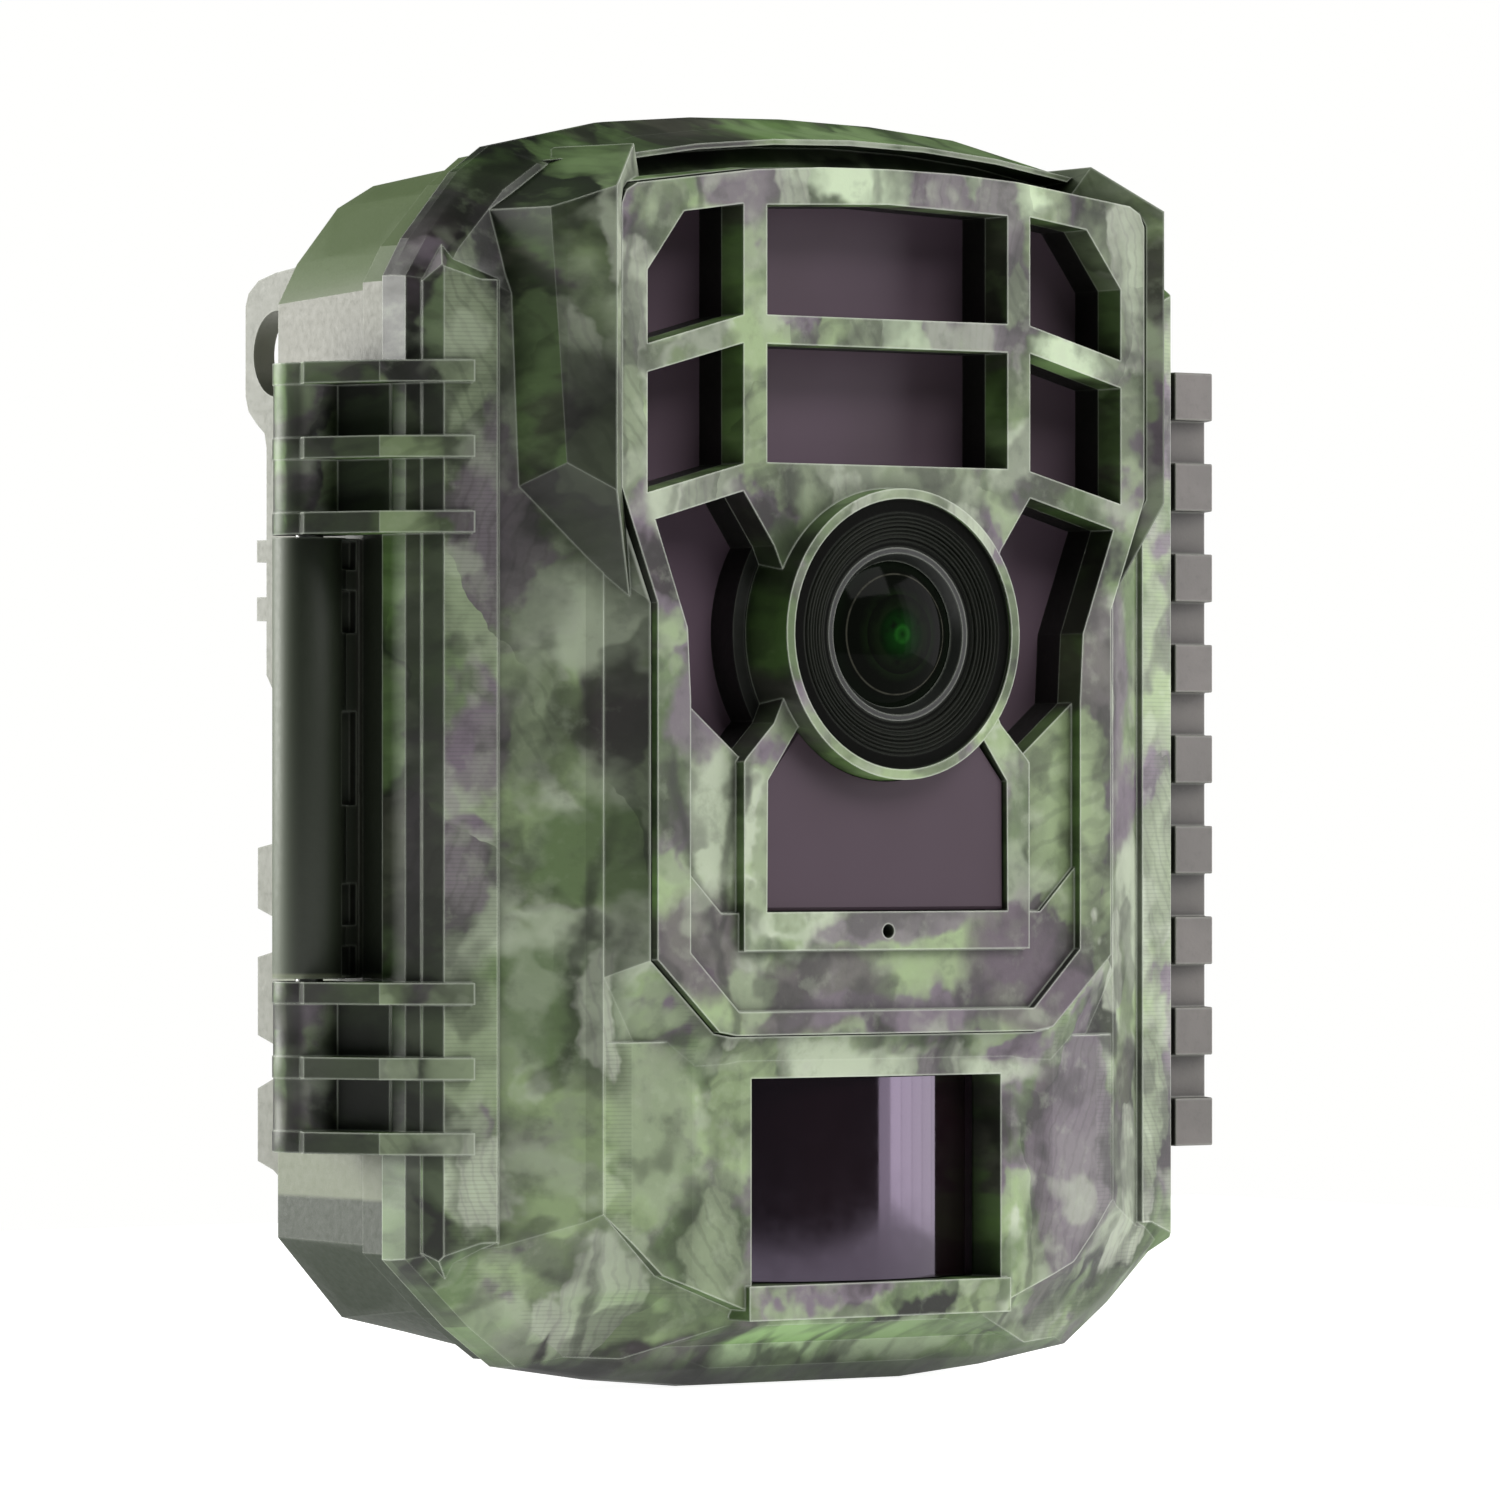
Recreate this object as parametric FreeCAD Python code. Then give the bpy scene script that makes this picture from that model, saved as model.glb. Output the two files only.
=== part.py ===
import FreeCAD, Part
import math
import os

# Trail camera, in millimetres.
# X runs across the camera, to the right of someone facing its lens, and Z runs up from the surface that it
# stands on. Depths are counted backwards from the front plane of the camouflaged window panel. The origin is
# the axis of the tripod thread at the bottom, so a depth becomes Y by taking TRIPOD_DEPTH away.

V = FreeCAD.Vector

# ---------------------------------------------------------------- driving dimensions
TRIPOD_DEPTH = 32.7        # panel front to tripod thread axis
HALF_WIDTH = 50.7          # door rim, half of the body's width
HEIGHT = 136.6             # to the top of the arched door rim
RIM_FRONT = 16.8           # depth of the door rim's front edge
PARTING = 21.2             # back face of the door
PARTING_GAP = 0.3          # between door and rear case
BACK = 43.5                # back face of the rear case
WALL = 2.4                 # moulded wall
SEAL_WIDTH = 4.6           # width of the two faces that meet at the seal
CLEAR = 0.3                # gap between pieces that move past each other

PANEL_THICK = 4.0          # camouflaged window panel
BEZEL_THICK = 4.0          # black frame behind it
FILTER_THICK = 1.2         # infrared filter window
PANEL_FIT = 0.15           # gap round the panel in its pocket

LENS_Z = 80.5              # lens axis height
BARREL_R = 15.5            # camouflaged lens barrel
BARREL_WALL = 1.1
BARREL_FRONT = -2.8        # the barrel stands in front of the panel
BEZEL_RING_R = 17.6        # black ring round the barrel
GLASS_RIM = -0.4           # depth of the front glass's edge

HOOD_FRONT = 7.0           # depth of the lip that shades the panel's top

PIR_HALF = 16.6            # half width of the motion sensor's opening
PIR_LOW, PIR_HIGH = 11.5, 33.4
PIR_FACE = 2.0             # depth of the surround

HINGE_X = 54.6             # hinge axis on the left, latch axis on the right
HINGE_DEPTH = 29.2
BARREL_HINGE_R = 3.9
PIN_R = 1.5
RUNNING = 0.05             # radial clearance of a pivot
KNUCKLE_LOW = (25.7, 43.7)     # door knuckles, lower group
KNUCKLE_HIGH = (90.8, 108.9)   # door knuckles, upper group
RIB_THICK = 2.3

LATCH_LOW, LATCH_HIGH = 24.5, 110.5
LATCH_RIBS = 9
LATCH_RIB = 5.3            # height of one grip rib

BRACKET_OUT = 42.0         # outer face of a bracket flange
BRACKET_IN = 39.3
BRACKET_BASE = (43.6, 46.0)    # depth of the bracket's plate
CABLE_R = 4.7              # hole for a python lock cable
CABLE_AT = (54.7, 111.4)   # depth and height of that hole
STRAP_SLOT = (46.3, 50.7, 75.2, 101.4)  # depth and height range of the strap slot

INSERT_R = 4.6             # brass tripod nut
INSERT_TOP = 9.4
THREAD_R = 3.175           # quarter-inch thread, its outer radius
BRACKET_SCREWS = [(x, z) for x in (-36.0, 36.0) for z in (20.0, 112.0)]
TRAY_SCREWS = [(x, 64.0) for x in (-38.0, 38.0)]

CELL_R, CELL_LEN = 7.25, 50.5    # AA cell
CELL_PITCH = 15.2
BOARD = (15.4, 17.0)       # main board depth range
LED_BOARD = (11.6, 13.2)
INNER_PANEL = (19.2, 20.8)
KEY_TRAVEL = 0.6
KEY_R = 2.7
KEY_PLACES = {"key_up": (0, 71.0), "key_down": (0, 58.0), "key_left": (-8.0, 64.5), "key_right": (8.0, 64.5),
              "key_ok": (0, 64.5), "key_menu": (-22.0, 64.5)}
BOARD_SCREWS = [(x, z) for x in (-37.5, 37.5) for z in (34.0, 110.0)]
PANEL_SCREWS = [(x, z) for x in (-42.4, 42.4) for z in (26.0, 68.0, 115.0)]
LCD_AT = (0, 95.0)
SWITCH_AT = (-24.0, 36.0)
CARD_AT = (21.3, 24.5)     # middle of the card's lower edge
CARD = (24.0, 32.0, 2.1)   # width, length, thickness
CARD_FRONT = 16.5          # depth of the card's front face
USB_AT = (-41.0, 84.0)


# ---------------------------------------------------------------- small helpers
def at(x, depth, z):
    """The point at a depth behind the panel's front plane."""
    return V(x, depth - TRIPOD_DEPTH, z)


def mirrored(half):
    """A whole outline from its right half, listed from the bottom centre round to the top centre."""
    return half + [(-x, z) for x, z in reversed(half) if x > 0]


def flipped(points):
    return [(-x, z) for x, z in reversed(points)]


def both(points):
    return [points, flipped(points)]


def wire(points, depth):
    corners = [at(x, depth, z) for x, z in points]
    return Part.makePolygon(corners + corners[:1])


def slab(points, front, back):
    """An outline in the XZ plane, made solid from one depth to another."""
    return Part.Face(wire(points, front)).extrude(V(0, back - front, 0))


def loft(levels):
    """A solid with straight sides through outlines that have the same number of corners."""
    return Part.makeLoft([wire(points, depth) for points, depth in levels], True, True)


def inset(points, amount):
    """An outline drawn in towards its middle by about the given amount."""
    half = max(x for x, _ in points)
    low, high = min(z for _, z in points), max(z for _, z in points)
    middle, tall = (low + high) / 2, (high - low) / 2
    return [(x * (1 - amount / half), middle + (z - middle) * (1 - amount / tall)) for x, z in points]


def block(x0, x1, front, back, z0, z1):
    return Part.makeBox(x1 - x0, back - front, z1 - z0, at(x0, front, z0))


def disc(x, z, r, front, back):
    """A cylinder along Y."""
    return Part.makeCylinder(r, back - front, at(x, front, z), V(0, 1, 0))


def cone(x, z, r_front, r_back, front, back):
    return Part.makeCone(r_front, r_back, back - front, at(x, front, z), V(0, 1, 0))


def upright(x, depth, r, z0, z1):
    """A cylinder along Z."""
    return Part.makeCylinder(r, z1 - z0, at(x, depth, z0), V(0, 0, 1))


def across(depth, z, r, x0, x1):
    """A cylinder along X."""
    return Part.makeCylinder(r, x1 - x0, at(x0, depth, z), V(1, 0, 0))


def plan(points, z0, z1):
    """A plan outline of (x, depth) corners, made solid from one height to another."""
    corners = [at(x, depth, z0) for x, depth in points]
    return Part.Face(Part.makePolygon(corners + corners[:1])).extrude(V(0, 0, z1 - z0))


def side_plate(points, x0, x1):
    """A side outline of (depth, z) corners, made solid from x0 to x1."""
    corners = [at(x0, depth, z) for depth, z in points]
    return Part.Face(Part.makePolygon(corners + corners[:1])).extrude(V(x1 - x0, 0, 0))


def above_plane(p, q, r, keep):
    """A large block on the side of the plane p, q, r that holds the point keep."""
    normal = (q - p).cross(r - p).normalize()
    if normal.dot(keep - p) < 0:
        normal = normal * -1
    size = 200
    face = Part.makePlane(size, size)
    face.translate(V(-size / 2, -size / 2, 0))
    big = face.extrude(V(0, 0, size))
    big.Placement = FreeCAD.Placement(p, FreeCAD.Rotation(V(0, 0, 1), normal))
    return big


def one_shape(solids):
    return Part.makeCompound(solids)


# ---------------------------------------------------------------- outlines, right halves from the bottom up
RIM = [(0, 0), (14, 0), (25, 1.0), (37.0, 2.8), (43.0, 7.2), (HALF_WIDTH, 14.5), (HALF_WIDTH, 118.0),
       (48.4, 122.0), (42.3, 129.2), (38.3, 132.1), (23.5, 135.3), (12, 136.3), (0, HEIGHT)]
RIM_EDGE = [(0, 0.2), (14, 0.2), (25, 1.2), (36.8, 3.0), (42.8, 7.4), (HALF_WIDTH, 14.7),
            (HALF_WIDTH, 117.8), (48.2, 121.8), (41.9, 128.5), (37.6, 131.3), (23.2, 134.4), (12, 135.8),
            (0, 136.3)]
SHOULDER = [(0, 2.2), (14, 2.2), (24, 2.4), (32.8, 4.0), (40.2, 8.8), (48.3, 15.4), (48.3, 117.2),
            (46.3, 120.6), (40.6, 127.0), (36.2, 130.0), (23.0, 133.3), (12, 134.6), (0, 135.0)]
CROWN = [(0, 4.8), (14, 4.8), (23.0, 4.8), (27.0, 3.7), (36.8, 10.6), (42.6, 16.0), (42.6, 116.7),
         (40.8, 119.2), (36.0, 124.8), (30.6, 128.6), (20.0, 131.6), (10, 132.6), (0, 133.0)]
SHIELD = [(0, 7.0), (7, 7.0), (12, 7.0), (17.0, 7.2), (28.5, 11.6), (35.4, 18.6), (35.4, 112.0),
          (35.2, 118.0), (34.2, 121.0), (30.0, 124.0), (18.0, 126.0), (9, 126.6), (0, 127.0)]
STEP = [(0, 8.4), (7, 8.4), (11.6, 8.4), (16.2, 8.5), (27.4, 12.8), (34.0, 19.4), (34.0, 112.0),
        (33.8, 117.0), (32.9, 120.2), (29.0, 123.2), (17.5, 125.4), (9, 126.0), (0, 126.4)]
HOOD_LIP = [(0, 133.0), (10, 132.7), (20, 131.8), (29.6, 130.3), (30.2, 130.8), (20, 132.4), (10, 133.3),
            (0, 133.6)]
HOOD_ROOT = [(0, 133.0), (10, 132.7), (20, 131.8), (29.6, 130.3), (35.8, 130.3), (23, 133.5), (12, 134.8),
             (0, 135.2)]
PANEL = [(0, 38.0), (20, 38.0), (22.2, 38.4), (30.2, 46.1), (30.2, 83.5), (34.8, 95.5), (34.8, 125.2),
         (34.2, 126.6), (32.8, 127.4), (17.5, 129.4), (8.8, 129.95), (0, 130.1)]
PEDESTAL = [(0, 28.9), (20, 28.9), (26.0, 29.5), (34.0, 44.2), (34.0, 87.0), (36.0, 97.0), (36.0, 125.5),
            (35.2, 127.2), (33.2, 128.0), (17.5, 129.8), (8.8, 130.2), (0, 130.4)]
REAR_FRONT = [(0, 1.4), (14, 1.4), (36, 3.4), (42.6, 8.0), (50.1, 15.0), (50.1, 117.5),
              (47.9, 121.4), (41.9, 128.1), (37.9, 131.2), (23.3, 134.3), (12, 135.3), (0, 135.6)]
REAR_BACK = [(0, 5.0), (14, 5.0), (33, 5.4), (41.0, 7.2), (49.2, 16.0), (49.2, 116.0),
             (46.8, 120.4), (41.6, 126.6), (37.0, 129.2), (24.0, 130.9), (12, 131.3), (0, 131.4)]

# ---------------------------------------------------------------- windows of the panel
WINDOW_TOP = [(-16, 114.1), (16, 114.1), (16, 125.7), (0, 126.3), (-16, 125.7)]
WINDOW_MIDDLE = [(-16, 98.5), (16, 98.5), (16, 111.0), (-16, 111.0)]
WINDOW_TOP_SIDE = [(19.1, 114.0), (31.5, 110.6), (31.5, 118.3), (26.8, 124.6), (19.1, 125.7)]
WINDOW_MIDDLE_SIDE = [(19.1, 98.3), (31.5, 95.0), (31.5, 107.6), (19.1, 111.0)]
WINDOW_LENS_SIDE = [(19.1, 95.4), (15.1, 89.7), (13.0, 85.0), (13.0, 75.5), (15.1, 71.0), (18.6, 67.4),
                    (25.9, 73.4), (26.3, 80.9), (30.5, 92.2)]
WINDOW_LOW = [(-16.0, 51.0), (16.0, 51.0), (15.9, 64.9), (11.6, 71.0), (-11.6, 71.0), (-15.9, 64.9)]
WINDOWS = ([WINDOW_TOP, WINDOW_MIDDLE, WINDOW_LOW] + both(WINDOW_TOP_SIDE) + both(WINDOW_MIDDLE_SIDE)
           + both(WINDOW_LENS_SIDE))
RECESS = [(0, 40.5), (19.6, 40.5), (25.9, 46.8), (25.9, 73.4), (18.6, 67.4), (0, 67.4)]
RECESS_DEEP = [(17.0, 50.9), (21.2, 50.9), (25.9, 55.6), (25.9, 73.4), (18.6, 67.4), (17.0, 67.4)]
FRAME_BOX = [(0, 46.9), (19.0, 46.9), (19.0, 66.9), (18.6, 67.4), (15.1, 71.0), (0, 71.0)]


# ---------------------------------------------------------------- door: outside
def cheek(side):
    """One of the two angular ears beside the upper half of the panel, built on the left."""
    tip, outer, peak = (-36.4, -1.45), (-39.6, 3.0), (-30.5, 3.9)
    body = plan([tip, outer, (-42.9, 8.3), (-44.0, 15.5), (-24.0, 15.5), (-24.0, 9.8)], 80.0, 134.0)
    middle = at(-36, 8, 110)
    foot = above_plane(at(*tip, 95.1), at(-40.9, 8.6, 96.6), at(-30.9, 1.0, 83.3), middle)
    side_wall = above_plane(at(-40.6, 4.6, 124.4), at(*outer, 97.0), at(-40.9, 8.6, 105.0), middle)
    roof = above_plane(at(*outer, 125.3), at(*tip, 126.9), at(*peak, 131.8), middle)
    ridge = above_plane(at(*peak, 131.8), at(-33.2, 16.9, 132.5), at(-25.0, 10.0, 132.2), middle)
    inside = above_plane(at(*peak, 131.8), at(-33.2, 16.9, 132.5), at(-29.6, 4.9, 130.1), middle)
    for half_space in (foot, side_wall, roof, ridge, inside):
        body = body.common(half_space)
    return body if side < 0 else body.mirror(V(0, 0, 0), V(1, 0, 0))


def pillar(side):
    """A flat-fronted upright between the rim and the shield, sloped at both ends, built on the left."""
    low, high, slope = 16.4, 117.4, 4.6
    body = plan([(-49.7, 15.0), (-48.6, 12.7), (-43.1, 10.8), (-42.0, 12.0), (-42.0, 16.0), (-49.7, 16.0)],
                low - slope, high + slope)
    face = 11.4
    ends = side_plate([(face, low), (face + slope, low - slope), (face + slope, high + slope), (face, high),
                       (face - 2, high), (face - 2, low)], -50, -40)
    body = body.common(ends).common(slab(inset(mirrored(RIM_EDGE), 0.9), face - 2, face + slope))
    return body if side < 0 else body.mirror(V(0, 0, 0), V(1, 0, 0))


def door_rib(z):
    """A rib of a door knuckle, from the door's side round to the hinge pin."""
    arm = plan([(-46.2, 10.4), (-54.1, 16.6), (-58.2, 24.8), (-57.2, 27.2), (-HINGE_X, HINGE_DEPTH),
                (-HALF_WIDTH, HINGE_DEPTH - 3), (-HALF_WIDTH, PARTING), (-45.4, PARTING), (-45.4, 12.6)],
               z, z + RIB_THICK)
    return arm.fuse(upright(-HINGE_X, HINGE_DEPTH, BARREL_HINGE_R, z, z + RIB_THICK))


def door_knuckle(low, high):
    """A recessed barrel with three ribs."""
    core = upright(-HINGE_X, HINGE_DEPTH, BARREL_HINGE_R - 0.1, low, high)
    web = plan([(-47.0, 19.0), (-HALF_WIDTH - 0.2, 19.4), (-HINGE_X + 1.2, 25.6), (-HINGE_X, HINGE_DEPTH),
                (-HALF_WIDTH - 0.4, HINGE_DEPTH - 3), (-HALF_WIDTH, PARTING), (-47.0, PARTING)], low, high)
    pitch = (high - low - RIB_THICK) / 2
    return [core, web] + [door_rib(low + i * pitch) for i in range(3)]


def front_cover():
    """The door's moulded shell."""
    rim = mirrored(RIM)
    dome = loft([(mirrored(RIM_EDGE), RIM_FRONT), (mirrored(SHOULDER), 13.5), (mirrored(CROWN), 11.3),
                 (mirrored(SHIELD), 5.7), (mirrored(STEP), 4.5)])
    edge = loft([(rim, PARTING), (rim, 19.6), (mirrored(RIM_EDGE), RIM_FRONT)])
    hood = loft([(mirrored(HOOD_ROOT), 14.0), (mirrored(HOOD_LIP), HOOD_FRONT)])
    pedestal = loft([(mirrored(PEDESTAL), 4.6), (mirrored(PANEL), 0.9)])
    neck = slab(mirrored([(0, 34), (26, 34), (33.5, 44), (33.5, 87), (35.5, 97), (35.5, 125.5), (34, 127.5),
                          (17.5, 129.8), (0, 130.4)]), 4.4, 9.8)
    surround = plan([(-34.0, 4.6), (-31.0, 3.6), (-24.0, 2.4), (-18.0, PIR_FACE), (18.0, PIR_FACE),
                     (24.0, 2.4), (31.0, 3.6), (34.0, 4.6)], 8.4, 37.4)
    surround = surround.common(slab(mirrored(STEP), 0, 5))
    sill = block(-17.4, 17.4, 1.2, 5.0, 7.8, PIR_LOW)
    sides = [make(side) for make in (cheek, pillar) for side in (-1, 1)]
    shell = edge.fuse([dome, hood, pedestal, neck, surround, sill] + sides).removeSplitter()

    hollow = [slab(inset(rim, SEAL_WIDTH), 17.0, PARTING + 1),
              loft([(inset(rim, SEAL_WIDTH), 17.0), (inset(mirrored(SHOULDER), 3.4), 15.8),
                    (inset(mirrored(CROWN), 4.4), 13.8), (inset(mirrored(SHIELD), 3.8), 8.8)])]
    sensor_pocket = block(-PIR_HALF - 2.1, PIR_HALF + 2.1, 8.2, 17.0, PIR_LOW - 2.2, PIR_HIGH + 1.8)
    shell = shell.cut(hollow + [sensor_pocket])

    panel_pocket = slab(inset(mirrored(PANEL), -PANEL_FIT), -1, PANEL_THICK + 0.1)
    bezel_opening = slab(inset(mirrored(PANEL), 1.6), PANEL_THICK, 16)
    pir_opening = block(-PIR_HALF, PIR_HALF, 0, 9, PIR_LOW, PIR_HIGH)
    shell = shell.cut([panel_pocket, bezel_opening, pir_opening])

    posts = [disc(x, z, 3.2, 10.0, BOARD[0]) for x, z in BOARD_SCREWS]
    posts += [disc(x, z, 3.4, 14.0, INNER_PANEL[0]) for x, z in PANEL_SCREWS]
    shell = shell.fuse(posts)
    for low, high in (KNUCKLE_LOW, KNUCKLE_HIGH):
        shell = shell.fuse(door_knuckle(low, high))
    shell = shell.fuse(door_catch())
    shell = shell.cut(slab(inset(rim, SEAL_WIDTH), INNER_PANEL[0], PARTING + 1))
    shell = shell.cut(slab(inset(rim, SEAL_WIDTH + 0.6), 17.2, INNER_PANEL[0]).cut(posts))
    pivot = upright(-HINGE_X, HINGE_DEPTH, PIN_R + RUNNING, 20, 115)
    screw_holes = [disc(x, z, 1.0, BOARD[0] - 4, BOARD[0] + 1) for x, z in BOARD_SCREWS]
    screw_holes += [disc(x, z, 1.1, INNER_PANEL[0] - 4, INNER_PANEL[0] + 1) for x, z in PANEL_SCREWS]
    return shell.cut([pivot] + screw_holes).removeSplitter()


def door_catch():
    """Two ledges on the door's right side, which the latch's front edge holds back."""
    return [block(HALF_WIDTH - 1, HALF_WIDTH + 2.6, 19.4, PARTING, z, z + 14) for z in (40.0, 81.0)]


def front_panel():
    """The camouflaged window grid with the lens barrel."""
    panel = slab(mirrored(PANEL), 0, PANEL_THICK)
    recess = slab(mirrored(RECESS), -1, 1.0).fuse([slab(p, -1, 1.5) for p in both(RECESS_DEEP)])
    panel = panel.cut(recess).fuse(slab(mirrored(FRAME_BOX), 0, PANEL_THICK))
    panel = panel.cut([slab(points, -1, PANEL_THICK + 1) for points in WINDOWS])
    collar = cone(0, LENS_Z, BARREL_R, BARREL_R + 0.5, 0, PANEL_THICK)
    barrel = disc(0, LENS_Z, BARREL_R, BARREL_FRONT, PANEL_THICK + BEZEL_THICK - 0.2)
    panel = panel.fuse([collar, barrel])
    bore = disc(0, LENS_Z, BARREL_R - BARREL_WALL, BARREL_FRONT - 1, PANEL_THICK + BEZEL_THICK + 1)
    microphone_hole = disc(0, 48.9, 0.75, -1, PANEL_THICK + 1)
    return panel.cut([bore, microphone_hole]).removeSplitter()


# ---------------------------------------------------------------- door: optics and lights
def ir_bezel():
    """The black frame between the panel and the infrared filter."""
    frame = slab(inset(mirrored(PANEL), 1.8), PANEL_THICK, PANEL_THICK + BEZEL_THICK)
    frame = frame.cut([slab(points, 0, 20) for points in WINDOWS])
    frame = frame.fuse(disc(0, LENS_Z, BEZEL_RING_R, PANEL_THICK, PANEL_THICK + BEZEL_THICK))
    holes = [disc(0, LENS_Z, BARREL_R + 0.6, 0, 20), disc(0, 48.9, 2.2, 0, 20)]
    return frame.cut(holes).removeSplitter()


def ir_filter():
    front = PANEL_THICK + BEZEL_THICK
    window = slab(inset(mirrored(PANEL), 1.8), front, front + FILTER_THICK)
    return window.cut([disc(0, LENS_Z, BARREL_R + 0.6, 0, 20), disc(0, 48.9, 2.2, 0, 20)])


def lens_baffle():
    """The black cone of steps round the lens."""
    outer = BARREL_R - BARREL_WALL
    ring = disc(0, LENS_Z, outer, BARREL_FRONT + 0.4, 6.0)
    steps = 6
    r_wide, r_tight, depth_step = 12.9, 9.3, 0.12
    cuts = [disc(0, LENS_Z, r_tight, -5, 10)]
    for i in range(steps):
        r = r_wide - (r_wide - r_tight) * i / steps
        front = BARREL_FRONT + 0.4 + i * depth_step
        cuts.append(disc(0, LENS_Z, r, front - 1, front + depth_step))
    return ring.cut(cuts)


def lens_ring():
    """The grey trim ring that holds the front glass."""
    front, seat = GLASS_RIM - 1.3, GLASS_RIM - 0.1
    mouth = cone(0, LENS_Z, 8.6, 7.8, front, seat)
    return disc(0, LENS_Z, 9.25, front, 5.4).cut([disc(0, LENS_Z, 7.9, seat, 6), mouth])


def lens_front_glass():
    """The domed front element."""
    radius, rim_r, depth = 16.0, 7.85, GLASS_RIM
    sag = radius - math.sqrt(radius ** 2 - rim_r ** 2)
    ball = Part.makeSphere(radius, at(0, depth + radius - sag, LENS_Z))
    return ball.common(disc(0, LENS_Z, rim_r, depth - sag - 1, depth + 1.4)).fuse(
        disc(0, LENS_Z, rim_r, depth, depth + 1.4)).removeSplitter()


def lens_barrel():
    """The lens cell behind the front glass."""
    front = GLASS_RIM + 1.6
    tube = disc(0, LENS_Z, 7.6, front, 10.0).fuse(disc(0, LENS_Z, 6.2, 10.0, 12.4))
    return tube.cut([cone(0, LENS_Z, 6.4, 3.2, front, 6.2), disc(0, LENS_Z, 3.2, 6, 13)])


def lens_rear_element():
    return disc(0, LENS_Z, 3.2, 7.6, 9.4)


def lens_holder():
    """The block on the main board that carries the lens and the sliding filter."""
    body = block(-12.5, 12.5, 10.3, BOARD[0], LENS_Z - 9, LENS_Z + 9)
    slot = block(-11.5, 11.5, 12.7, 13.9, LENS_Z - 5, LENS_Z + 5)
    bores = [disc(0, LENS_Z, r, front, back) for r, front, back in
             ((6.25, 10, 12.7), (4.2, 12, BOARD[0] + 1), (5.0, 14.3, BOARD[0] + 1))]
    return body.cut([slot] + bores)


def ir_cut_filter():
    """The slide with the daylight filter, which an electromagnet shifts across the lens at night."""
    plate = block(-10.8, 3.8, 13.0, 13.6, LENS_Z - 4.5, LENS_Z + 4.5)
    return plate.cut(disc(-6.6, LENS_Z, 3.0, 12, 15))


def image_sensor():
    return block(-3.6, 3.6, 14.5, BOARD[0], LENS_Z - 3.2, LENS_Z + 3.2)


def led_places():
    """Centres of the infrared LEDs, behind the windows."""
    middle, outer = (-11.6, -5.8, 0, 5.8, 11.6), (-28.0, -22.6, 22.6, 28.0)
    rows = [(x, z) for z in (101.5, 107.8, 117.0) for x in middle + outer]
    rows += [(x, 122.6) for x in middle + (-22.6, 22.6)]
    return rows + [(x, z) for z in (54.6, 60.4) for x in middle]


def ir_leds():
    base = LED_BOARD[0] - 1.0
    return one_shape([disc(x, z, 2.5, base, LED_BOARD[0]).fuse(disc(x, z, 2.1, base - 0.9, base))
                      for x, z in led_places()])


def ir_led_board():
    board = slab(inset(mirrored(PANEL), 2.6), *LED_BOARD)
    opening = block(-13.5, 13.5, 10, 20, LENS_Z - 10, LENS_Z + 10)
    return board.cut([opening] + [disc(x, z, 1.2, 10, 20) for x, z in spacer_places()])


def spacer_places():
    return [(x, z) for x in (-25.5, 25.5) for z in (50.0, 114.6)]


def board_spacers():
    """Posts that carry the LED board on the main board."""
    return one_shape([disc(x, z, 2.4, LED_BOARD[1], BOARD[0]).fuse(
        disc(x, z, 1.2, LED_BOARD[0] + 0.2, LED_BOARD[1])) for x, z in spacer_places()])


# ---------------------------------------------------------------- door: motion sensor
def pir_lens():
    """The curved glossy window in front of the motion sensor."""
    apex, sag, thick = 2.9, 4.6, 0.9
    half = PIR_HALF - CLEAR / 2
    radius = (half ** 2 + sag ** 2) / (2 * sag)
    middle = apex + radius
    low, high = PIR_LOW + 0.15, PIR_HIGH - 0.15
    tube = upright(0, middle, radius, low, high).cut(upright(0, middle, radius - thick, low - 1, high + 1))
    sheet = tube.common(block(-half, half, apex - 1, apex + sag + 0.2, low, high))
    flange = block(-PIR_HALF - 1.9, PIR_HALF + 1.9, 8.3, 9.5, PIR_LOW - 2, PIR_HIGH + 1.6)
    legs = [block(s - 0.5, s + 0.5, apex + sag - 0.6, 8.3, low, high) for s in (-half + 0.5, half - 0.5)]
    flange = flange.cut(block(-half + 1, half - 1, 8, 10, low + 1, high - 1))
    return sheet.fuse(legs + [flange]).removeSplitter()


def pir_holder():
    """The box that keeps light off the motion sensor from the side."""
    box = block(-17.4, 17.4, 9.7, 12.2, PIR_LOW - 1.0, PIR_HIGH + 0.6)
    funnel = cone(0, 22.5, 14.5 * 0.72, 5.0, 9.7, 12.2)
    neck = disc(0, 22.5, 6.2, 12.2, BOARD[0]).cut(disc(0, 22.5, 5.0, 12, 20))
    return box.cut(funnel).fuse(neck).cut(disc(0, 22.5, 5.0, 9.6, 20)).removeSplitter()


def pir_sensor():
    can = disc(0, 22.5, 4.6, 11.4, BOARD[0])
    return can.cut(block(-2, 2, 11.2, 11.6, 20.7, 24.3))


def microphone():
    return disc(0, 48.9, 2.0, PANEL_THICK + 0.3, PANEL_THICK + 4.2)


# ---------------------------------------------------------------- door: electronics and controls
def main_board():
    """The circuit board, cut away where the card socket is set into it."""
    outline = [(0, 16.0), (32, 16.0), (40.5, 30.0), (40.5, 112.0), (36.0, 120.0), (0, 120.0)]
    board = slab(mirrored(outline), *BOARD)
    holes = [disc(x, z, 1.4, 10, 20) for x, z in BOARD_SCREWS]
    corner = [disc(x, z, 4.0, 10, 20) for x, z in PANEL_SCREWS]
    x, z = CARD_AT
    socket = block(x - 13.7, x + 13.7, 10, 20, z - 15.0, z + 36.2)
    return board.cut(holes + corner + [socket])


def board_screws():
    return one_shape([disc(x, z, 2.3, BOARD[1], BOARD[1] + 1.3).fuse(
        disc(x, z, 1.0, BOARD[0] - 3.5, BOARD[1])) for x, z in BOARD_SCREWS])


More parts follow.
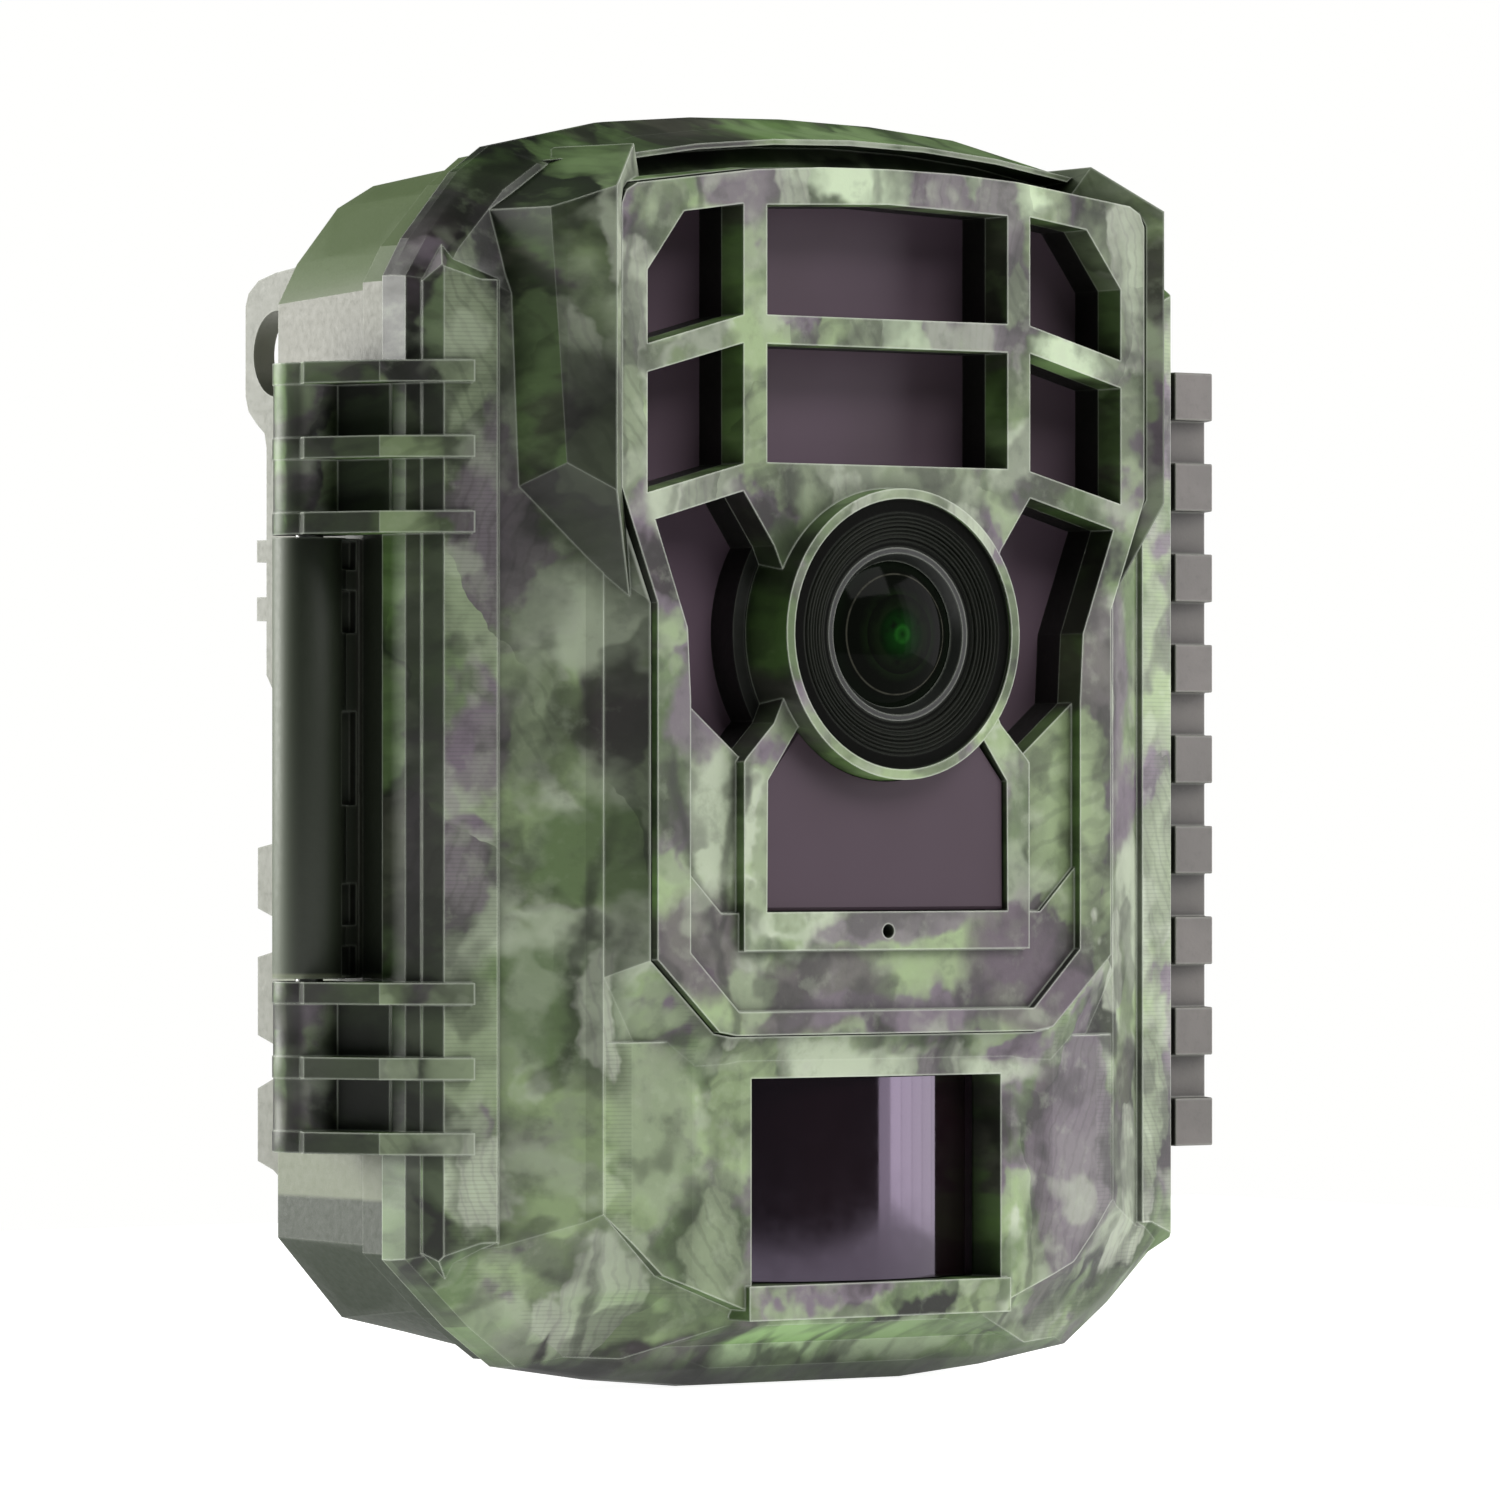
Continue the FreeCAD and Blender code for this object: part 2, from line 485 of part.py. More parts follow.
def lcd_screen():
    """The colour screen, seen with the door open."""
    x, z = LCD_AT
    return block(x - 24, x + 24, BOARD[1] + 0.1, INNER_PANEL[0] - 0.1, z - 18.5, z + 18.5)


def lcd_window():
    """The clear cover over the screen."""
    x, z = LCD_AT
    return block(x - 21.4, x + 21.4, INNER_PANEL[0] + 0.1, INNER_PANEL[1] - 0.2, z - 16.0, z + 16.0)


def inner_panel():
    """The cover plate on the door's inside, with the screen, keys, switch and card slot."""
    plate = slab(inset(mirrored(RIM), SEAL_WIDTH + 0.2), *INNER_PANEL)
    x, z = LCD_AT
    cuts = [block(x - 21.5, x + 21.5, 10, 30, z - 16.1, z + 16.1)]
    cuts += [disc(kx, kz, KEY_R + CLEAR, 10, 30) for kx, kz in KEY_PLACES.values()]
    x, z = SWITCH_AT
    cuts.append(block(x - 7.4, x + 7.4, 10, 30, z - 2.6, z + 2.6))
    x, z = CARD_AT
    cuts.append(block(x - 13.0, x + 13.0, 10, 30, z - 14.5, z + 4.0))
    for px, pz in PANEL_SCREWS:
        cuts += [disc(px, pz, 1.3, 10, 30), disc(px, pz, 2.6, INNER_PANEL[0] + 0.5, 30)]
    return plate.cut(cuts)


def inner_panel_screws():
    return one_shape([disc(x, z, 2.4, INNER_PANEL[0] + 0.5, INNER_PANEL[1]).fuse(
        disc(x, z, 1.1, INNER_PANEL[0] - 3.6, INNER_PANEL[0] + 0.5)) for x, z in PANEL_SCREWS])


def key(place):
    """A push key: a cap with a flange that the panel holds back."""
    x, z = place
    return disc(x, z, KEY_R, INNER_PANEL[0] - 0.8, INNER_PANEL[1] + 0.6)


def key_switches():
    """Tact switches under the keys, on the main board."""
    top = INNER_PANEL[0] - 0.8 - KEY_TRAVEL - 0.1
    half = 2.2
    return one_shape([block(x - half, x + half, BOARD[1], top, z - half, z + half)
                      for x, z in KEY_PLACES.values()])


def mode_switch_body():
    x, z = SWITCH_AT
    body = block(x - 8.0, x + 8.0, BOARD[1], INNER_PANEL[0] - 0.3, z - 3.2, z + 3.2)
    return body.cut(block(x - 5.4, x + 5.4, BOARD[1] + 1.0, 30, z - 1.5, z + 1.5))


def mode_switch_knob():
    """The off, set-up and on slider, stored in the middle."""
    x, z = SWITCH_AT
    stem = block(x - 1.8, x + 1.8, BOARD[1] + 1.3, INNER_PANEL[1], z - 1.2, z + 1.2)
    cap = block(x - 2.6, x + 2.6, INNER_PANEL[0], INNER_PANEL[1] + 0.5, z - 2.2, z + 2.2)
    return stem.fuse(cap).removeSplitter()


def sd_socket():
    x, z = CARD_AT
    shell = block(x - 13.6, x + 13.6, CARD_FRONT - 0.6, INNER_PANEL[0] - 0.05, z + 5.0, z + 36.0)
    mouth = block(x - CARD[0] / 2 - 0.3, x + CARD[0] / 2 + 0.3, CARD_FRONT - 0.2, CARD_FRONT + CARD[2] + 0.15,
                  z - 1, z + CARD[1] + 1.0)
    return shell.cut(mouth)


def sd_card():
    """A memory card with its corner cut, which slides out downwards."""
    x, z = CARD_AT
    w = CARD[0] / 2
    top, corner = z + CARD[1], 4
    outline = [(x - w, z), (x + w, z), (x + w, top), (x - w + corner, top), (x - w, top - corner)]
    return slab(outline, CARD_FRONT, CARD_FRONT + CARD[2])


def usb_socket():
    """The cable socket at the edge of the main board."""
    x, z = USB_AT
    shell = block(x + 0.6, x + 9.0, BOARD[1], BOARD[1] + 1.9, z - 4.0, z + 4.0)
    return shell.cut(block(x, x + 7.0, BOARD[1] + 0.35, BOARD[1] + 1.55, z - 3.4, z + 3.4))


# ---------------------------------------------------------------- rear body
def rear_knuckle():
    """The long middle knuckle with its web and core-out notches."""
    low, high = KNUCKLE_LOW[1] + CLEAR, KNUCKLE_HIGH[0] - CLEAR
    barrel = upright(-HINGE_X, HINGE_DEPTH, BARREL_HINGE_R, low, high)
    web = plan([(-HINGE_X, HINGE_DEPTH - 1.4), (-48.0, HINGE_DEPTH - 1.4), (-48.0, 33.0), (-HINGE_X, 33.0)],
               low, high)
    notches = [block(-HINGE_X + 1.9, -49.6, 24.0, HINGE_DEPTH - 0.2, z0, z1)
               for z0, z1 in ((87.2, 90.2), (80.5, 85.0), (62.3, 72.2), (49.6, 54.0), (44.3, 47.4))]
    return barrel.fuse(web).cut(notches)


def latch_lugs():
    """Two lugs on the rear case that carry the latch's pin."""
    lugs = []
    for z0, z1 in ((18.5, LATCH_LOW - CLEAR), (LATCH_HIGH + CLEAR, 116.0)):
        lug = plan([(48.0, HINGE_DEPTH - 2.4), (HINGE_X, HINGE_DEPTH - 3.2), (HINGE_X, HINGE_DEPTH + 3.2),
                    (48.0, HINGE_DEPTH + 5.0)], z0, z1)
        lugs.append(lug.fuse(upright(HINGE_X, HINGE_DEPTH, 3.2, z0, z1)))
    return lugs


def rear_case():
    """The moulded back half, which holds the batteries."""
    front = PARTING + PARTING_GAP
    rim, back = mirrored(REAR_FRONT), mirrored(REAR_BACK)
    band_back = 25.8
    case = slab(rim, front, band_back).fuse(loft([(inset(rim, 0.9), band_back), (back, BACK)]))
    hollow = slab(inset(rim, SEAL_WIDTH), front - 1, band_back).fuse(
        loft([(inset(rim, SEAL_WIDTH), band_back), (inset(rim, SEAL_WIDTH), band_back + 1),
              (inset(back, 2.8), BACK - WALL)]))
    case = case.cut(hollow)
    groove = slab(inset(rim, 1.4), front - 1, front + 1.6).cut(slab(inset(rim, 3.2), front - 2, front + 2))
    case = case.cut(groove)
    foot = block(-10, 10, 27.0, 41.0, 0, 8.2)
    bosses = [disc(x, z, 3.6, BACK - 8, BACK - 1) for x, z in BRACKET_SCREWS + TRAY_SCREWS]
    case = case.fuse([foot] + bosses + [rear_knuckle()] + latch_lugs())
    insert_hole = upright(0, TRIPOD_DEPTH, INSERT_R, -1, INSERT_TOP)
    pivots = [upright(-HINGE_X, HINGE_DEPTH, PIN_R, 20, 115), upright(HINGE_X, HINGE_DEPTH, PIN_R, 15, 120)]
    screws = [disc(x, z, 1.3, BACK - 7, BACK + 1) for x, z in BRACKET_SCREWS]
    tray = [disc(x, z, 1.2, BACK - 9, BACK - 3) for x, z in TRAY_SCREWS]
    return case.cut([insert_hole] + pivots + screws + tray).removeSplitter()


def tripod_insert():
    """The brass nut with the quarter-inch tripod thread."""
    nut = upright(0, TRIPOD_DEPTH, INSERT_R, 0, INSERT_TOP)
    return nut.cut(upright(0, TRIPOD_DEPTH, THREAD_R, -1, INSERT_TOP - 1.4))


def case_gasket():
    """The rubber seal in the rear case's groove."""
    front = PARTING + PARTING_GAP
    rim = mirrored(REAR_FRONT)
    return slab(inset(rim, 1.5), front, front + 1.5).cut(slab(inset(rim, 3.1), front - 1, front + 2))


def hinge_pin():
    return upright(-HINGE_X, HINGE_DEPTH, PIN_R, KNUCKLE_LOW[0] + 0.1, KNUCKLE_HIGH[1] - 0.1)


def latch_pin():
    return upright(HINGE_X, HINGE_DEPTH, PIN_R, 19.0, 115.5)


# ---------------------------------------------------------------- batteries
CELL_ROWS = (14.6, 70.6)   # lower end of the cells in each row
CELL_DEPTH = 32.6


def cell_places():
    return [((i - 1.5) * CELL_PITCH, low) for low in CELL_ROWS for i in range(4)]


def battery_tray():
    """The moulded tray for eight AA cells."""
    half = 2 * CELL_PITCH + 1.2
    tray = block(-half, half, 24.6, BACK - WALL - 0.1, 11.0, 124.6)
    troughs = [block(x - CELL_R - 0.2, x + CELL_R + 0.2, 20, CELL_DEPTH, z - 1.8, z + CELL_LEN + 1.8).fuse(
        upright(x, CELL_DEPTH, CELL_R + 0.2, z - 1.8, z + CELL_LEN + 1.8)) for x, z in cell_places()]
    arm = block(-42.0, 42.0, 33.0, 35.4, 60.0, 68.0)
    tray = tray.fuse(arm).cut(troughs)
    return tray.cut([disc(x, z, 1.5, 20, 45) for x, z in TRAY_SCREWS]).removeSplitter()


def aa_cells():
    """Eight AA cells, each with its positive button; alternate cells are turned end for end."""
    cells = []
    for i, (x, z) in enumerate(cell_places()):
        top = z + CELL_LEN
        low, high = (z + 1.0, top) if i % 2 else (z, top - 1.0)
        knob_low = z if i % 2 else top - 1.0
        body = upright(x, CELL_DEPTH, CELL_R, low, high)
        cells.append(body.fuse(upright(x, CELL_DEPTH, 2.7, knob_low, knob_low + 1.0)))
    return one_shape(cells)


def battery_contacts():
    """Flat contact plates at both ends of every cell."""
    plates = []
    for x, z in cell_places():
        for end in (z - 1.6, z + CELL_LEN + 1.2):
            plates.append(block(x - 4.5, x + 4.5, 27.5, CELL_DEPTH + 4.5, end, end + 0.4))
    return one_shape(plates)


def battery_springs():
    """A coiled contact spring at the flat end of every cell, drawn pressed flat as two rings."""
    rings = []
    for i, (x, z) in enumerate(cell_places()):
        low = z + CELL_LEN if i % 2 else z - 1.2
        rings += [Part.makeTorus(r, 0.29, at(x, CELL_DEPTH, low + h), V(0, 0, 1))
                  for r, h in ((3.6, 0.3), (2.4, 0.9))]
    return one_shape(rings)


def tray_screws():
    return one_shape([disc(x, z, 2.6, 31.4, 33.0).fuse(disc(x, z, 1.2, 33.0, BACK - 3.4))
                      for x, z in TRAY_SCREWS])


# ---------------------------------------------------------------- tree bracket
def flange_outline():
    """Side view of one flange, with its rounded lock eye and the teeth that grip bark."""
    base = BRACKET_BASE[0]
    eye = [(49.0, 120.8), (55.0, 120.2), (58.4, 119.5), (60.4, 118.2), (61.0, 116.8), (61.0, 107.0),
           (60.4, 105.3), (58.8, 103.9), (57.2, 102.8), (56.8, 101.2)]
    upper = [(56.8, 91.2), (58.7, 91.2), (58.7, 88.8), (56.8, 88.8), (56.8, 85.0), (58.7, 85.0), (58.7, 82.4),
             (56.8, 82.4), (56.8, 76.5), (54.6, 73.7), (52.4, 72.6)]
    lower = [(52.4, 59.4), (54.6, 58.3)]
    for top, low in ((58.3, 50.2), (46.4, 36.4), (32.1, 22.7)):
        lower += [(58.5, top - 0.6), (58.5, low + 0.9), (55.4, low)]
        lower.append((55.4, low - 3.8))
    return [(base, 22.0), (base, 116.0)] + eye + upper + lower[:-1] + [(50.0, 19.5)]


def tree_bracket():
    """The back plate and its two toothed flanges, which wedge against a trunk."""
    plate = slab(mirrored([(0, 21.0), (34, 21.0), (BRACKET_OUT, 26.0), (BRACKET_OUT, 112.0), (36, 117.0),
                           (0, 117.0)]), *BRACKET_BASE)
    outline = flange_outline()
    flanges = [side_plate(outline, BRACKET_IN, BRACKET_OUT), side_plate(outline, -BRACKET_OUT, -BRACKET_IN)]
    bracket = plate.fuse(flanges)
    depth, z = CABLE_AT
    front, back, low, high = STRAP_SLOT
    cuts = [across(depth, z, CABLE_R, -60, 60), block(-60, 60, front, back, low, high)]
    cuts += [disc(x, z, 1.7, 40, 50) for x, z in BRACKET_SCREWS]
    return bracket.cut(cuts).removeSplitter()


def bracket_screws():
    return one_shape([disc(x, z, 2.8, BRACKET_BASE[1], BRACKET_BASE[1] + 1.8).fuse(
        disc(x, z, 1.3, BACK - 6, BRACKET_BASE[1])) for x, z in BRACKET_SCREWS])


# ---------------------------------------------------------------- latch
def latch():
    """The ribbed side lever, which hooks over the door's ledges and turns on its pin."""
    section = [(51.2, 17.5), (57.3, 17.5), (58.2, 20.5), (58.4, HINGE_DEPTH), (56.8, 32.6), (52.6, 32.6),
               (51.2, HINGE_DEPTH), (51.4, 26.0), (55.4, 24.5), (55.8, 19.0), (51.2, 19.0)]
    lever = plan(section, LATCH_LOW, LATCH_HIGH)
    pitch = (LATCH_HIGH - LATCH_LOW - LATCH_RIB) / (LATCH_RIBS - 1)
    rib = [(51.5, 15.5), (57.0, 15.8), (58.5, 18.6), (59.1, 24.0), (58.6, 30.0), (57.0, 30.0), (56.6, 18.6),
           (51.5, 18.6)]
    ribs = [plan(rib, LATCH_LOW + i * pitch, LATCH_LOW + i * pitch + LATCH_RIB) for i in range(LATCH_RIBS)]
    lever = lever.fuse(ribs)
    return lever.cut(upright(HINGE_X, HINGE_DEPTH, PIN_R + RUNNING, 20, 115)).removeSplitter()


# ---------------------------------------------------------------- all nodes
MAKERS = (
    front_cover, front_panel, ir_bezel, ir_filter, lens_baffle, lens_ring, lens_front_glass,
    lens_barrel, lens_rear_element, lens_holder, ir_cut_filter, image_sensor, ir_leds, ir_led_board,
    board_spacers, pir_lens, pir_holder, pir_sensor, microphone, main_board, board_screws, lcd_screen,
    lcd_window, inner_panel, inner_panel_screws, key_switches, mode_switch_body, mode_switch_knob,
    sd_socket, sd_card, usb_socket, rear_case, tripod_insert, case_gasket, hinge_pin, latch_pin,
    battery_tray, aa_cells, battery_contacts, battery_springs, tray_screws, tree_bracket,
    bracket_screws, latch)

shapes = {make.__name__: make() for make in MAKERS}
shapes.update({name: key(place) for name, place in KEY_PLACES.items()})

os.makedirs("parts", exist_ok=True)
for name, shape in shapes.items():
    print(name, "valid" if shape.isValid() else "INVALID", len(shape.Solids), "solids", round(shape.Volume))
    shape.exportStep("parts/" + name + ".step")
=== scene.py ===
import bpy
import math
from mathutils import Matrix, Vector


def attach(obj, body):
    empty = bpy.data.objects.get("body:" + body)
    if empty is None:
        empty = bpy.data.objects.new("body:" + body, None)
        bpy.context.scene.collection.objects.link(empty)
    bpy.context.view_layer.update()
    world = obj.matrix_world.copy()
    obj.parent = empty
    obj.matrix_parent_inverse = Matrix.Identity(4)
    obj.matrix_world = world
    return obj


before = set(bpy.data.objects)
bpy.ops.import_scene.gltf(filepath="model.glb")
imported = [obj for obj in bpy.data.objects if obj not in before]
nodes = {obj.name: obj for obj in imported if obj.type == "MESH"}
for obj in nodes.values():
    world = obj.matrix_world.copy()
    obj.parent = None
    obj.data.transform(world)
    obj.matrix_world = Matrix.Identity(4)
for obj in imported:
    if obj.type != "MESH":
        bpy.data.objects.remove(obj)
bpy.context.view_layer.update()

# ---------------------------------------------------------------- sizes of the object, in millimetres
MM = 0.001
TRIPOD_DEPTH = 32.7             # from the panel's front, where depths are counted from, back to the origin
LENS_Z = 80.5
BARREL_R = 15.5
FOOT_Z = 20.6                   # below this the rear case slopes in
COLUMN = (44.5, 90.9)           # the bare hinge column, between the two knuckles
PANE_HALF, PANE_LOW, PANE_SHOULDER = 15.85, 51.12, 64.85
ROUNDING = 0.22
# The next value sets how wide the painted edge highlights are.
EDGE_HIGHLIGHT_RADIUS = 0.35
RECESS_REACH = 5.0              # how far the painted shade reaches out of a corner

# ---------------------------------------------------------------- the studio, in metres
BODY_MIDDLE = Vector((0.0, -0.0327, 0.0608))    # the point that the camera is set up round
VIEW_YAW = math.radians(36.9)                   # the camera stands this far round to the left
VIEW_DISTANCE = 0.994
VIEW_LENS = 223.9                               # millimetres, on the sensor below
SENSOR = 36.0
AIM_LEFT = math.radians(0.851)
AIM_UP = math.radians(0.426)
FLOOR_SIZE = 0.7
FLOOR_GLOW, FLOOR_GLOW_SEEN = 0.55, 0.38        # for every ray, and on top of that for the camera's own
AMBIENT = 0.09
# name, azimuth, elevation, distance, width, height, watts, colour
LIGHTS = [
    ("left_box", -148, 6, 1.3, 0.6, 1.2, 24.0, (1.0, 1.0, 0.96)),
    ("high_box", 14, 42, 1.5, 0.9, 0.7, 15.5, (1.0, 1.0, 0.98)),
]
# Overlapping upright strips at the right, from the front round to the side, each weaker than the last.
STRIPS = [("right_strip_%d" % i, 46 + 6 * i, 6, 1.2, 0.25, 1.2, 2.1 - 0.15 * i, (1.0, 0.96, 1.0))
          for i in range(9)]


# ---------------------------------------------------------------- camera, floor and light
def make_camera():
    data = bpy.data.cameras.new("camera")
    data.lens = VIEW_LENS
    data.sensor_width = SENSOR
    data.clip_start, data.clip_end = 0.05, 20.0
    camera = bpy.data.objects.new("camera", data)
    bpy.context.scene.collection.objects.link(camera)
    back = Vector((-math.sin(VIEW_YAW), -math.cos(VIEW_YAW), 0.0))
    camera.location = BODY_MIDDLE + back * VIEW_DISTANCE
    camera.rotation_euler = (math.pi / 2 + AIM_UP, 0.0, -VIEW_YAW + AIM_LEFT)
    bpy.context.scene.camera = camera


def area_light(name, azimuth, elevation, distance, width, height, power, colour):
    """A softbox facing the object. Azimuth 0 is in front of the lens, and 90 at the latch's side."""
    data = bpy.data.lights.new(name, "AREA")
    data.shape = "RECTANGLE"
    data.size, data.size_y = width, height
    data.energy = power
    data.color = colour
    light = bpy.data.objects.new(name, data)
    bpy.context.scene.collection.objects.link(light)
    a, e = math.radians(azimuth), math.radians(elevation)
    away = Vector((math.sin(a) * math.cos(e), -math.cos(a) * math.cos(e), math.sin(e)))
    light.location = BODY_MIDDLE + away * distance
    light.rotation_mode = "QUATERNION"
    light.rotation_quaternion = away.to_track_quat("Z", "Y")


def make_stage():
    mesh = bpy.data.meshes.new("floor")
    h = FLOOR_SIZE / 2
    mesh.from_pydata([(-h, -h, 0), (h, -h, 0), (h, h, 0), (-h, h, 0)], [], [(0, 1, 2, 3)])
    floor = bpy.data.objects.new("floor", mesh)
    bpy.context.scene.collection.objects.link(floor)
    look = Look("floor_white", Roughness=1.0)
    look.set("Specular IOR Level", 0.0)
    look.set("Base Color", (0.8, 0.8, 0.8, 1))
    look.set("Emission Color", (1, 1, 1, 1))
    seen = look.node("ShaderNodeLightPath").outputs["Is Camera Ray"]
    look.set("Emission Strength", look.math("MULTIPLY_ADD", seen, FLOOR_GLOW_SEEN, FLOOR_GLOW))
    mesh.materials.append(look.material)
    world = bpy.data.worlds.new("studio")
    bpy.context.scene.world = world
    world.use_nodes = True
    tree = world.node_tree
    ambient = tree.nodes["Background"]
    ambient.inputs["Color"].default_value = (0.92, 1.0, 0.94, 1)
    ambient.inputs["Strength"].default_value = AMBIENT
    white = tree.nodes.new("ShaderNodeBackground")
    white.inputs["Color"].default_value = (1, 1, 0.99, 1)
    path = tree.nodes.new("ShaderNodeLightPath")
    mix = tree.nodes.new("ShaderNodeMixShader")
    tree.links.new(path.outputs["Is Camera Ray"], mix.inputs[0])
    tree.links.new(ambient.outputs[0], mix.inputs[1])
    tree.links.new(white.outputs[0], mix.inputs[2])
    tree.links.new(mix.outputs[0], tree.nodes["World Output"].inputs["Surface"])
    for light in LIGHTS + STRIPS:
        area_light(*light)
    bpy.context.scene.view_settings.view_transform = "Standard"


# ---------------------------------------------------------------- material building
def srgb(r, g, b):
    """A colour given in 0 to 255 steps, as the linear value that a shader takes."""
    def linear(c):
        c = c / 255
        return c / 12.92 if c <= 0.04045 else ((c + 0.055) / 1.055) ** 2.4
    return (linear(r), linear(g), linear(b), 1.0)


class Look:
    """A material made of nodes. Each method adds a node and gives back its output."""

    def __init__(self, name, **sockets):
        self.material = bpy.data.materials.new(name)
        self.material.use_nodes = True
        self.tree = self.material.node_tree
        self.shader = self.tree.nodes["Principled BSDF"]
        for socket, value in sockets.items():
            self.set(socket, value)

    def set(self, socket, value):
        self.plug(self.shader.inputs[socket], value)

    def plug(self, socket, value):
        if isinstance(value, bpy.types.NodeSocket):
            self.tree.links.new(value, socket)
        elif value is not None:
            socket.default_value = value

    def node(self, kind, inputs=(), **settings):
        made = self.tree.nodes.new(kind)
        for key, value in settings.items():
            setattr(made, key, value)
        for key, value in dict(inputs).items():
            self.plug(made.inputs[key], value)
        return made

    def math(self, operation, a, b=None, c=None, clamp=False):
        inputs = {i: v for i, v in enumerate((a, b, c)) if v is not None}
        return self.node("ShaderNodeMath", inputs, operation=operation, use_clamp=clamp).outputs[0]

    def times(self, first, *others):
        """All the values multiplied together."""
        for other in others:
            first = self.math("MULTIPLY", first, other)
        return first

    def vector(self, operation, a, b=None, scale=None):
        inputs = {0: a}
        if b is not None:
            inputs[1] = b
        if scale is not None:
            inputs["Scale"] = scale
        return self.node("ShaderNodeVectorMath", inputs, operation=operation).outputs[0]

    def length(self, a):
        return self.node("ShaderNodeVectorMath", {0: a}, operation="LENGTH").outputs["Value"]

    def mix(self, factor, a, b, blend="MIX"):
        made = self.node("ShaderNodeMix", data_type="RGBA", blend_type=blend)
        self.plug(made.inputs[0], factor)
        self.plug(made.inputs[6], a)
        self.plug(made.inputs[7], b)
        return made.outputs[2]

    def place(self, scale=(1, 1, 1), offset=(0, 0, 0), turn=(0, 0, 0)):
        """Object coordinates in millimetres, stretched, moved and turned."""
        where = self.node("ShaderNodeTexCoord").outputs["Object"]
        made = self.node("ShaderNodeMapping", {"Vector": where}, vector_type="POINT")
        made.inputs["Location"].default_value = offset
        made.inputs["Rotation"].default_value = turn
        made.inputs["Scale"].default_value = [s * 1000 for s in scale]
        return made.outputs[0]

    def stretched(self, where, turn, height):
        """Coordinates turned about the depth axis and squeezed upwards, so that what is drawn grows tall."""
        inputs = {"Vector": where, "Rotation": (0, turn, 0), "Scale": (1.0, 1.0, height)}
        return self.node("ShaderNodeMapping", inputs, vector_type="POINT").outputs[0]

    def noise(self, where, scale, detail=2.0, roughness=0.5, output="Fac"):
        inputs = {"Vector": where, "Scale": scale, "Detail": detail, "Roughness": roughness}
        return self.node("ShaderNodeTexNoise", inputs).outputs[output]

    def cells(self, where, scale, feature="F1", output="Distance", pointed=False):
        """Cells round scattered points. Pointed ones are measured so that a disc turns into a leaf."""
        made = self.node("ShaderNodeTexVoronoi", {"Vector": where, "Scale": scale}, feature=feature,
                         distance="MINKOWSKI" if pointed else "EUCLIDEAN")
        if pointed:
            made.inputs["Exponent"].default_value = 1.15
        return made.outputs[output]

    def ramp(self, factor, stops, curve="LINEAR"):
        made = self.node("ShaderNodeValToRGB", {0: factor})
        band = made.color_ramp
        band.interpolation = curve
        while len(band.elements) < len(stops):
            band.elements.new(0.5)
        for element, (position, colour) in zip(band.elements, stops):
            element.position = position
            element.color = colour if isinstance(colour, tuple) else (colour, colour, colour, 1)
        return made.outputs[0]

    def step(self, value, low, high):
        """0 below low, 1 above high, smooth between. low may be above high, which turns it round."""
        inputs = {"Value": value, "From Min": low, "From Max": high}
        return self.node("ShaderNodeMapRange", inputs, interpolation_type="SMOOTHSTEP").outputs[0]

    def parts(self, vector):
        made = self.node("ShaderNodeSeparateXYZ", {0: vector})
        return made.outputs[0], made.outputs[1], made.outputs[2]

    def normal(self):
        """The surface's direction in the piece's own frame, so that it doesn't change as a door turns."""
        geometry = self.node("ShaderNodeNewGeometry").outputs["Normal"]
        made = self.node("ShaderNodeVectorTransform", {0: geometry}, vector_type="NORMAL",
                         convert_from="WORLD", convert_to="OBJECT")
        return self.parts(made.outputs[0])

    def edge(self):
        """1 along edges and 0 on the flats."""
        soft = self.node("ShaderNodeBevel", {"Radius": EDGE_HIGHLIGHT_RADIUS * MM}, samples=4).outputs[0]
        true = self.node("ShaderNodeNewGeometry").outputs["Normal"]
        made = self.node("ShaderNodeVectorMath", {0: soft, 1: true}, operation="DOT_PRODUCT")
        away = self.math("SUBTRACT", 1.0, made.outputs["Value"])
        return self.math("MULTIPLY", away, 9.0, clamp=True)

    def finish(self, colour, edge_highlight, recess_shade=0.85):
        """The last touches on a colour: painted shade in the recesses and painted highlights along the
        edges.
        """
        # Painted shade: ambient occlusion darkens the recesses.
        shelter = self.node("ShaderNodeAmbientOcclusion", {"Distance": RECESS_REACH * MM}, samples=4)
        depth = self.times(self.step(shelter.outputs["AO"], 0.95, 0.25), recess_shade)
        colour = self.mix(depth, colour, RECESS_SHADE_COLOUR)
        # Painted highlight: the edges are made paler.
        self.set("Base Color", self.mix(self.times(self.edge(), edge_highlight), colour, EDGE_HIGHLIGHT))

    def bump(self, height, distance, strength):
        inputs = {"Height": height, "Distance": distance, "Strength": strength}
        self.set("Normal", self.node("ShaderNodeBump", inputs).outputs[0])


# ---------------------------------------------------------------- camouflage
SAGE = srgb(134, 148, 118)
PALE = srgb(176, 187, 163)
MINT = srgb(196, 214, 180)
LEAF = srgb(142, 162, 118)
MOSS = srgb(84, 106, 64)
LILAC = srgb(108, 98, 108)
PLUM = srgb(84, 73, 82)
BARK = srgb(46, 38, 42)
NIGHT = srgb(20, 24, 15)
# Colours of the painted edge highlight and the painted recess shade.
EDGE_HIGHLIGHT = srgb(205, 212, 198)
RECESS_SHADE_COLOUR = srgb(10, 14, 7)
SOOT = (0.01, 0.01, 0.01, 1)
